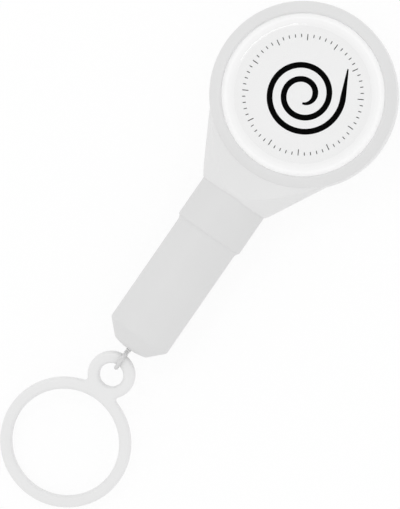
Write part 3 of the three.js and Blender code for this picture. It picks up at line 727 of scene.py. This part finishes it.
felt_start, felt_end = FELT_RUN
edge_deep, edge_run = FELT_EDGE
felt_profile = [(FELT_HOLE, felt_start), (FELT_RADIUS - edge_deep, felt_start)]
for step in range(FELT_STEPS + 1):
    share = step / FELT_STEPS
    side_radius = FELT_RADIUS - FELT_INSET + FELT_WAVE * math.sin(FELT_WAVES * share)
    felt_profile.append((side_radius, felt_start + edge_run + (felt_end - felt_start - 2 * edge_run) * share))
felt_profile += [(FELT_RADIUS - edge_deep, felt_end), (FELT_HOLE, felt_end)]
felt = turned("inked_felt", felt_profile, along_barrel, FELT_SIDES)
felt.data.shade_smooth()
fitted(felt, soaked_felt("ink_soaked_felt", INK_DARK), "handle", "ink_felt", "ink_felt")

# Front shell: the face half of the case and shoulder in the same satin ABS. A sloped bezel with a rounded
# lip round the label recess is part of the moulding, its up-facing faces a shade darker as painted shade of
# the slope, and two pilot bosses take the screws.
FRONT_TOP = 15.0
BEZEL_ROOT = 13.4
BEZEL_SKIRT = 14.0
BEZEL_EDGE = FRONT_TOP - 0.05
BEZEL_PEAK = 16.62
BEZEL_LIP = 1.25
BEZEL_INSETS = (0.1, 0.02, 0.03)
BEZEL_SIDES = 192
BEZEL_REACH = CASE_RADIUS - 0.025
BEZEL_LEVEL = FRONT_TOP + 0.02
BEZEL_FACING = 0.3
BEZEL_PAINTED_SHADE = (0.745, 0.745, 0.745)
BEZEL_DULL = 0.5
RECESS_RADIUS = 15.43
RECESS_FLOOR = 14.7
RECESS_CLEAR = 18.0
CEILING = 13.1
TONGUE_PLAY = 0.12
BOSS_ROOT = 0.4
PILOT_RUN = (6.5, 10.35)
THRUST_BOSS = (3.4, 12.4)
ARBOR_HOLE = (1.87, 12.0, 13.55)
ARBOR_SIDES = 48
front_rim = CASE_SPLIT + SPLIT_GAP
front_loops = [inner_loop(CASE_WALL + round_far, CEILING)]
front_loops += [inner_loop(CASE_WALL + round_near, CEILING - round_near)]
front_loops += [inner_loop(CASE_WALL, CEILING - round_far), inner_loop(CASE_WALL, TONGUE_TOP + TONGUE_PLAY)]
front_loops += [inner_loop(TONGUE_INSET - TONGUE_PLAY, TONGUE_TOP + TONGUE_PLAY)]
front_loops += [inner_loop(TONGUE_INSET - TONGUE_PLAY, front_rim), outer_loop(RIM_FLAT, front_rim)]
front_loops += [outer_loop(break_far, front_rim), outer_loop(break_near, front_rim + break_near)]
front_loops += [outer_loop(0, front_rim + break_far), outer_loop(0, front_rim + RIM_BAND)]
front_loops += [outer_loop(inset, FRONT_TOP - level) for inset, level in reversed(edge_round())]
front_shell = lofted("front_case", front_loops)
root_inset, skirt_inset, edge_inset = BEZEL_INSETS
bezel_profile = softened([
    (0, BEZEL_ROOT, 0), (CASE_RADIUS - root_inset, BEZEL_ROOT, 0),
    (CASE_RADIUS - skirt_inset, BEZEL_SKIRT, 0.2), (CASE_RADIUS - edge_inset, BEZEL_EDGE, 0.5),
    (RECESS_RADIUS, BEZEL_PEAK, BEZEL_LIP), (RECESS_RADIUS, RECESS_FLOOR, 0), (0, RECESS_FLOOR, 0),
])
recess = [(0, RECESS_FLOOR), (RECESS_RADIUS, RECESS_FLOOR), (RECESS_RADIUS, RECESS_CLEAR), (0, RECESS_CLEAR)]
worked(front_shell, turned("recess_tool", recess, upright, BEZEL_SIDES), "DIFFERENCE")
worked(front_shell, turned("bezel", bezel_profile, upright, BEZEL_SIDES), "UNION")
boss_top = CEILING + BOSS_ROOT
front_boss = [(0, front_rim), (BOSS_RADIUS, front_rim), (BOSS_RADIUS, boss_top), (0, boss_top)]
for side in (-1, 1):
    worked(front_shell, turned("boss", front_boss, at_screw(side), SCREW_SIDES), "UNION")
thrust_radius, thrust_face = THRUST_BOSS
thrust = [(0, thrust_face), (thrust_radius, thrust_face), (thrust_radius, boss_top), (0, boss_top)]
worked(front_shell, turned("thrust_boss", thrust, upright, ARBOR_SIDES), "UNION")
arbor_radius, arbor_start, arbor_end = ARBOR_HOLE
arbor_hole = [(0, arbor_start), (arbor_radius, arbor_start), (arbor_radius, arbor_end), (0, arbor_end)]
worked(front_shell, turned("arbor_tool", arbor_hole, upright, ARBOR_SIDES), "DIFFERENCE")
worked(front_shell, neck_tool(), "DIFFERENCE")
worked(front_shell, relief_tool(), "DIFFERENCE")
pilot_start, pilot_tip = PILOT_RUN
pilot_hole = [(0, pilot_start), (SCREW_HOLE, pilot_start), (SCREW_HOLE, pilot_tip), (0, pilot_tip)]
for side in (-1, 1):
    worked(front_shell, turned("pilot_tool", pilot_hole, at_screw(side), SCREW_SIDES), "DIFFERENCE")
smoothed(front_shell)
fitted(front_shell, case_plastic, "handle", "case_white", "front_shell")
# The bezel's up-facing faces take a finer-etched copy of the ABS, coloured a shade darker: painted shade of
# the sloped rim.
front_shell.data.materials.append(moulded_plastic("etched_bezel_abs_painted_shade", BEZEL_PAINTED_SHADE, BEZEL_DULL, grain=1700.0))
for face in front_shell.data.polygons:
    reach = math.hypot(face.center.x, face.center.y) / MM
    if reach < BEZEL_REACH and face.center.z > BEZEL_LEVEL * MM and face.normal.z > BEZEL_FACING:
        face.material_index = 1

# Case screws: two zinc-plated countersunk screws with a cross recess, driven from the rear through the
# bosses. They draw the halves together over the tail of the collar.
SCREW_HEAD = 1.65
SCREW_HEAD_EDGE = 0.2
SCREW_CONE = 1.1
SCREW_SHANK = 0.8
SCREW_TIP = (0.2, 9.3, 9.95)
SCREW_SINK = 0.25
SCREW_ROUND = 48
RIDGE_COUNT = 36
RIDGE_START = 1.25
RIDGE_PITCH = 0.22
RIDGE_DEPTH = 0.18
RIDGE_CREST = 0.01
CROSS_ARM = (0.21, 1.05)
CROSS_DEPTH = 0.6
CROSS_CLEAR = 0.2
CROSS_TAPER = (0.6, 0.45)
ZINC = (0.50, 0.51, 0.52)
zinc_steel = rolled_steel("zinc_plated_steel", ZINC, dull=0.3, lines=(1.0, 1.0, 1.0))


def cross_tool(place):
    """A tapered bar that cuts one arm of the cross recess."""
    wide, long = CROSS_ARM
    narrow, short = CROSS_TAPER
    top = [(wide, long), (-wide, long), (-wide, -long), (wide, -long)]
    high = [place(x, y, SCREW_SINK - CROSS_CLEAR) for x, y in top]
    low = [place(x * narrow, y * short, SCREW_SINK + CROSS_DEPTH) for x, y in top]
    return lofted("cross_tool", [high, low])


screw_profile = softened([
    (0, 0, 0), (SCREW_HEAD, 0, 0.1), (SCREW_HEAD, SCREW_HEAD_EDGE, 0.05), (SCREW_SHANK, SCREW_CONE, 0),
], steps=4)[:-1]
for turn in range(RIDGE_COUNT):
    root = RIDGE_START + turn * RIDGE_PITCH
    screw_profile += [(SCREW_SHANK - RIDGE_DEPTH, root), (SCREW_SHANK - RIDGE_CREST, root + RIDGE_PITCH / 2)]
tip_inset, tip_start, tip_end = SCREW_TIP
screw_profile += [(SCREW_SHANK - tip_inset, tip_start), (0, tip_end)]
for side, name in ((-1, "left"), (1, "right")):
    spot = at_screw(side)
    profile = [(radius, level + SCREW_SINK) for radius, level in screw_profile]
    screw = turned(f"screw_{name}", profile, spot, SCREW_ROUND)
    worked(screw, cross_tool(spot), "DIFFERENCE")
    worked(screw, cross_tool(lambda x, y, z, put=spot: put(y, x, z)), "DIFFERENCE")
    smoothed(screw, angle=28)
    fitted(screw, zinc_steel, "handle", "screw_steel", f"case_screw_{name}")

# Label: a printed white film laid in the recess. Its middle is a shade greyer than its border, and that
# whiter
# border is painted light: a painted highlight for the resin dome's bright shoulder and a painted lift of the
# recess wall's shade. Its print is a coil of thread with a drawn-out end inside a ring of fine ticks, in matt
# black ink.
LABEL_RADIUS = 15.40
LABEL_BED = RECESS_FLOOR + 0.01
LABEL_TOP = 14.9
LABEL_EDGE = 0.06
FIELD_RADIUS = 13.6
FIELD_FADE = 0.4
FIELD_GREY = 0.888
BORDER_PAINTED_GLEAM = 0.925
BORDER_SHARE = 0.3
EDGE_PAINTED_GLEAM = 0.99
EDGE_SHARE = 0.6
LABEL_SIDES = 128
INK_BLACK = (0.002, 0.002, 0.002)
INK_RISE = 0.012
COIL_START = math.radians(-60)
COIL_TURNS = 2.25
COIL_STEPS = 220
COIL_INNER = 1.6
COIL_OUTER = 7.6
COIL_WIDTH = 1.1
COIL_TIP = (0.35, 24)
TAIL_STEP = 0.24
TAIL_STEPS = 23
TAIL_TAPER = 0.75
TICK_COUNT = 60
TICK_RUN = (10.9, 11.5)
TICK_WIDTH = 0.15
LONG_TICK = 0.55
LONG_EVERY = 5
label_profile = softened([
    (0, LABEL_BED, 0), (LABEL_RADIUS, LABEL_BED, 0), (LABEL_RADIUS, LABEL_TOP, LABEL_EDGE),
    (FIELD_RADIUS, LABEL_TOP, 0), (0, LABEL_TOP, 0),
])
label = smoothed(turned("label_film", label_profile, upright, LABEL_SIDES))


def film_with_painted_gleam(name):
    """Coated film: a pale grey field whitened towards its edge by painted light (the dome's shoulder
    highlight and a lift of the recess wall's shade), with a faint paper tooth.
    """
    finish, tree, shader, where = bare_finish(name)
    flat = tree.nodes.new("ShaderNodeVectorMath")
    flat.operation = "MULTIPLY"
    flat.inputs[1].default_value = (1.0, 1.0, 0.0)
    tree.links.new(where, flat.inputs[0])
    reach = tree.nodes.new("ShaderNodeVectorMath")
    reach.operation = "LENGTH"
    tree.links.new(flat.outputs["Vector"], reach.inputs[0])
    edge = tree.nodes.new("ShaderNodeMapRange")
    edge.inputs["From Min"].default_value = (FIELD_RADIUS - FIELD_FADE) * MM
    edge.inputs["From Max"].default_value = LABEL_RADIUS * MM
    tree.links.new(reach.outputs["Value"], edge.inputs["Value"])
    # Painted light: the ramp whitens the film towards its edge, standing for the dome's bright shoulder and
    # lifting the recess wall's shade.
    tone = tree.nodes.new("ShaderNodeValToRGB")
    tone.color_ramp.interpolation = "EASE"
    gleam_stop = tone.color_ramp.elements.new(BORDER_SHARE)
    gleam_stop.color = (BORDER_PAINTED_GLEAM, BORDER_PAINTED_GLEAM, BORDER_PAINTED_GLEAM, 1.0)
    tone.color_ramp.elements[0].color = (FIELD_GREY, FIELD_GREY, FIELD_GREY, 1.0)
    tone.color_ramp.elements[-1].color = (EDGE_PAINTED_GLEAM, EDGE_PAINTED_GLEAM, EDGE_PAINTED_GLEAM, 1.0)
    tone.color_ramp.elements[-1].position = EDGE_SHARE
    tree.links.new(edge.outputs["Result"], tone.inputs["Fac"])
    tree.links.new(tone.outputs["Color"], shader.inputs["Base Color"])
    tooth = noise(tree, where, 1800.0)
    dulled(tree, shader, tooth, 0.5, 0.66)
    embossed(tree, shader, tooth, 0.2, 0.00001)
    return finish


fitted(label, film_with_painted_gleam("label_film_painted_gleam"), "handle", "label_film", "label_disc")


def inked_strip(maker, path, width):
    """A thin raised strip of print along path points (x, y), with a width for the whole or for each point."""
    points = [Vector(p) for p in path]
    widths = width if isinstance(width, list) else [width] * len(points)
    low_level = LABEL_TOP - INK_RISE
    high_level = LABEL_TOP + INK_RISE
    section = ((-1, low_level), (1, low_level), (1, high_level), (-1, high_level))
    rows = []
    for k, point in enumerate(points):
        way = (points[min(k + 1, len(points) - 1)] - points[max(k - 1, 0)]).normalized()
        out = Vector((-way.y, way.x)) * (widths[k] / 2)
        row = []
        for offset, level in section:
            spot = point + out * offset
            row.append(maker.verts.new((spot.x * MM, spot.y * MM, level * MM)))
        rows.append(row)
    for low, high in zip(rows, rows[1:]):
        for k in range(4):
            n = (k + 1) % 4
            maker.faces.new((low[k], low[n], high[n], high[k]))
    maker.faces.new(reversed(rows[0]))
    maker.faces.new(rows[-1])


def coil_point(share):
    turn = COIL_START + 2 * math.pi * COIL_TURNS * share
    reach = COIL_INNER + (COIL_OUTER - COIL_INNER) * share
    return Vector((reach * math.cos(turn), reach * math.sin(turn)))


print_maker = bmesh.new()
coil_path = [coil_point(k / COIL_STEPS) for k in range(COIL_STEPS + 1)]
coil_end = coil_path[-1]
coil_way = (coil_path[-1] - coil_path[-2]).normalized()
tail_path = [coil_end + coil_way * (TAIL_STEP * k) for k in range(1, TAIL_STEPS + 1)]
tip_share, tip_steps = COIL_TIP
taper = [COIL_WIDTH * min(1.0, tip_share + (1 - tip_share) * k / tip_steps) for k in range(COIL_STEPS + 1)]
taper += [COIL_WIDTH * (1 - TAIL_TAPER * k / TAIL_STEPS) for k in range(1, TAIL_STEPS + 1)]
inked_strip(print_maker, coil_path + tail_path, taper)
tick_in, tick_out = TICK_RUN
for k in range(TICK_COUNT):
    turn = 2 * math.pi * k / TICK_COUNT
    way = Vector((math.cos(turn), math.sin(turn)))
    longer = LONG_TICK if k % LONG_EVERY == 0 else 0.0
    inked_strip(print_maker, [way * (tick_in - longer), way * tick_out], TICK_WIDTH)
bmesh.ops.recalc_face_normals(print_maker, faces=print_maker.faces)
label_print = mesh_object("label_print", print_maker)
wet_ink = moulded_plastic("black_ink_under_resin", INK_BLACK, dull=0.6, cloud=500.0, grain=3000.0)
wet_ink.node_tree.nodes["Principled BSDF"].inputs["Specular IOR Level"].default_value = 0.0
fitted(label_print, wet_ink, "handle", "label_film")

# Label dome: clear resin poured over the film, which it wets, so that the print lies under a smooth lens
# with a soft shoulder. It stands a touch above the bezel.
DOME_RADIUS = 15.42
DOME_SEAT = 0.05
DOME_WALL = 0.25
DOME_EDGE = 0.35
DOME_SHOULDER = 2.6
DOME_RISE = 1.62
DOME_CROWN = 0.07
DOME_SHOULDER_STEPS = 24
DOME_CROWN_STEPS = 12
dome_foot = LABEL_TOP - DOME_SEAT
dome_profile = [(0, dome_foot), (DOME_RADIUS, dome_foot), (DOME_RADIUS, LABEL_TOP + DOME_WALL)]
for step in range(DOME_SHOULDER_STEPS + 1):
    share = 1 - step / DOME_SHOULDER_STEPS
    reach = DOME_RADIUS - DOME_SHOULDER * (1 - share)
    dome_profile.append((reach, LABEL_TOP + DOME_EDGE + (DOME_RISE - DOME_EDGE) * (1 - share ** 2)))
flat_radius = DOME_RADIUS - DOME_SHOULDER
for step in range(1, DOME_CROWN_STEPS + 1):
    share = 1 - step / DOME_CROWN_STEPS
    dome_profile.append((flat_radius * share, LABEL_TOP + DOME_RISE + DOME_CROWN * (1 - share ** 2)))
dome = smoothed(turned("label_lens", dome_profile, upright, LABEL_SIDES), angle=60)


def clear_resin(name):
    """Clear doming resin: smooth glass-like surface with a very slight unevenness in its gloss."""
    finish, tree, shader, where = bare_finish(name)
    shader.inputs["Base Color"].default_value = (1.0, 1.0, 1.0, 1.0)
    shader.inputs["Transmission Weight"].default_value = 1.0
    shader.inputs["IOR"].default_value = 1.48
    ripple = noise(tree, where, 120.0)
    dulled(tree, shader, ripple, 0.01, 0.04)
    embossed(tree, shader, ripple, 0.05, 0.00002)
    path = tree.nodes.new("ShaderNodeLightPath")
    open_way = tree.nodes.new("ShaderNodeBsdfTransparent")
    lit_through = tree.nodes.new("ShaderNodeMixShader")
    tree.links.new(path.outputs["Is Diffuse Ray"], lit_through.inputs[0])
    tree.links.new(shader.outputs["BSDF"], lit_through.inputs[1])
    tree.links.new(open_way.outputs["BSDF"], lit_through.inputs[2])
    lamps_through = tree.nodes.new("ShaderNodeMixShader")
    tree.links.new(path.outputs["Is Shadow Ray"], lamps_through.inputs[0])
    tree.links.new(lit_through.outputs["Shader"], lamps_through.inputs[1])
    tree.links.new(open_way.outputs["BSDF"], lamps_through.inputs[2])
    tree.links.new(lamps_through.outputs["Shader"], tree.nodes["Material Output"].inputs["Surface"])
    return finish


fitted(dome, clear_resin("clear_doming_resin"), "handle", "label_resin", "label_dome")

# Last run of thread: from the felt plug through felt, wiper and nose to the knot. It is drawn out with the
# ring.
END_START = 26.7
DRAWN_RADIUS = 0.38
KNOT_DISTANCE = 59.19
END_STEP = 0.16
end_line = straight((0, -END_START, AXIS_LEVEL), (0, -KNOT_DISTANCE, AXIS_LEVEL), END_STEP)
end_run = spun_thread("drawn_thread", end_line, DRAWN_RADIUS)
end_run.data.materials.append(thread_yarn)
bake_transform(end_run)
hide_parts("thread_end")

# Loop: the thread's end goes once round the band of the eyelet and is whipped to itself in a small knot,
# which stops it from being drawn into the nose. The whipping is coloured near white as painted light,
# lifting the shade in the narrow gap between nose and eyelet.
PIVOT_DISTANCE = 61.115
LOOP_RADIUS = 1.78
LOOP_OPEN = math.radians(30)
LOOP_STEPS = 60
LEG_STEP = 0.12
KNOT_COIL = 0.27
KNOT_HALF = 0.48
KNOT_TURNS = 3
KNOT_STEPS = 96
WHIP_RADIUS = 0.24
WHIP_PLY = 0.03
KNOT_PAINTED_PALE = (0.94, 0.94, 0.94)
loop_points = []
for step in range(LOOP_STEPS + 1):
    turn = LOOP_OPEN + (2 * math.pi - 2 * LOOP_OPEN) * step / LOOP_STEPS
    y = LOOP_RADIUS * math.cos(turn) - PIVOT_DISTANCE
    z = LOOP_RADIUS * math.sin(turn) + AXIS_LEVEL
    loop_points.append(Vector((0, y, z)))
knot_middle = Vector((0, -KNOT_DISTANCE, AXIS_LEVEL))
loop_path = straight(knot_middle, loop_points[0], LEG_STEP)[:-1]
loop_path += loop_points
loop_path += straight(loop_points[-1], knot_middle, LEG_STEP)[1:]
loop = spun_thread("ring_loop", loop_path, DRAWN_RADIUS)
whip_path = []
for step in range(KNOT_STEPS + 1):
    turn = 2 * math.pi * KNOT_TURNS * step / KNOT_STEPS
    y = -KNOT_DISTANCE - KNOT_HALF + 2 * KNOT_HALF * step / KNOT_STEPS
    whip_path.append((KNOT_COIL * math.cos(turn), y, AXIS_LEVEL + KNOT_COIL * math.sin(turn)))
whip = spun_thread("loop_knot", whip_path, WHIP_RADIUS, WHIP_PLY)
fitted(loop, thread_yarn, "loop", "thread", "thread_loop")
# The whipping's near-white colour is painted light over the shade between nose and eyelet.
fitted(whip, spun_polyester("whipping_painted_pale", KNOT_PAINTED_PALE), "loop", "thread")

# Pull ring: a finger ring and its eyelet moulded in one piece of white nylon, with rounded edges and small
# fillets where the two circles meet. It lies tipped, with its far edge on the table.
RING_OUTER = 12.65
RING_BAND = 2.27
RING_THICK = 2.2
RING_EDGE = 0.8
RING_SPACING = 16.03
RING_NOTCH = 0.7
EYE_OUTER = 4.57
EYE_HOLE = 2.3
RING_TILT = math.radians(11.404)
RING_STEPS = 150
FINGER_STEPS = 144
EYE_STEPS = 56
NOTCH_STEPS = 8
RING_WELD = 0.000002
RING_WHITE = (0.80, 0.80, 0.80)
RING_DULL = 0.4
eye_middle = -(EYE_HOLE + (EYE_OUTER - EYE_HOLE) / 2)
ring_middle = eye_middle - RING_SPACING
ring_reach = RING_OUTER + RING_NOTCH
eye_reach = EYE_OUTER + RING_NOTCH
notch_along = (RING_SPACING ** 2 + eye_reach ** 2 - ring_reach ** 2) / (2 * RING_SPACING)
notch_x = math.sqrt(eye_reach ** 2 - notch_along ** 2)
notch_y = eye_middle - notch_along


def arc(x, y, radius, first, last, steps):
    turns = [first + (last - first) * k / steps for k in range(steps + 1)]
    return [(x + radius * math.cos(turn), y + radius * math.sin(turn)) for turn in turns]


ring_first = math.atan2(notch_y - ring_middle, notch_x)
eye_first = math.atan2(notch_y - eye_middle, notch_x)
notch_first = math.atan2(ring_middle - notch_y, -notch_x) + 2 * math.pi
notch_last = math.atan2(eye_middle - notch_y, -notch_x)
right_notch = arc(notch_x, notch_y, RING_NOTCH, notch_first, notch_last, NOTCH_STEPS)
left_notch = [(-x, y) for x, y in reversed(right_notch)]
ring_outline = arc(0, ring_middle, RING_OUTER, math.pi - ring_first, 2 * math.pi + ring_first, RING_STEPS)
ring_outline += right_notch[1:]
ring_outline += arc(0, eye_middle, EYE_OUTER, eye_first, math.pi - eye_first, EYE_STEPS)[1:]
ring_outline += left_notch[1:-1]
finger_hole = arc(0, ring_middle, RING_OUTER - RING_BAND, 0, 2 * math.pi, FINGER_STEPS)[:-1]
eye_hole = arc(0, eye_middle, EYE_HOLE, 0, 2 * math.pi, EYE_STEPS)[:-1]
ring_curve = bpy.data.curves.new("ring_outline", "CURVE")
ring_curve.dimensions = "2D"
ring_curve.fill_mode = "BOTH"
ring_curve.extrude = (RING_THICK / 2 - RING_EDGE) * MM
ring_curve.bevel_depth = RING_EDGE * MM
ring_curve.bevel_resolution = 5
ring_curve.offset = -RING_EDGE * MM
for outline in (ring_outline, finger_hole, eye_hole):
    spline = ring_curve.splines.new("POLY")
    spline.points.add(len(outline) - 1)
    spline.use_cyclic_u = True
    for point, (x, y) in zip(spline.points, outline):
        point.co = (x * MM, y * MM, 0.0, 1.0)
ring_form = bpy.data.objects.new("ring_form", ring_curve)
bpy.context.scene.collection.objects.link(ring_form)
bpy.context.view_layer.update()
ring_ready = ring_form.evaluated_get(bpy.context.evaluated_depsgraph_get())
ring_mesh = bpy.data.meshes.new_from_object(ring_ready)
bpy.data.objects.remove(ring_form)
ring_spot = Matrix.Translation((0, -PIVOT_DISTANCE * MM, AXIS_LEVEL * MM))
ring_mesh.transform(ring_spot @ Matrix.Rotation(RING_TILT, 4, "X"))
ring_maker = bmesh.new()
ring_maker.from_mesh(ring_mesh)
bmesh.ops.remove_doubles(ring_maker, verts=ring_maker.verts, dist=RING_WELD)
bmesh.ops.recalc_face_normals(ring_maker, faces=ring_maker.faces)
ring = smoothed(mesh_object("finger_ring", ring_maker), angle=40)
ring_plastic = moulded_plastic("satin_white_nylon", RING_WHITE, RING_DULL, cloud=60.0, grain=2400.0)
fitted(ring, ring_plastic, "ring", "ring_white", "pull_ring")
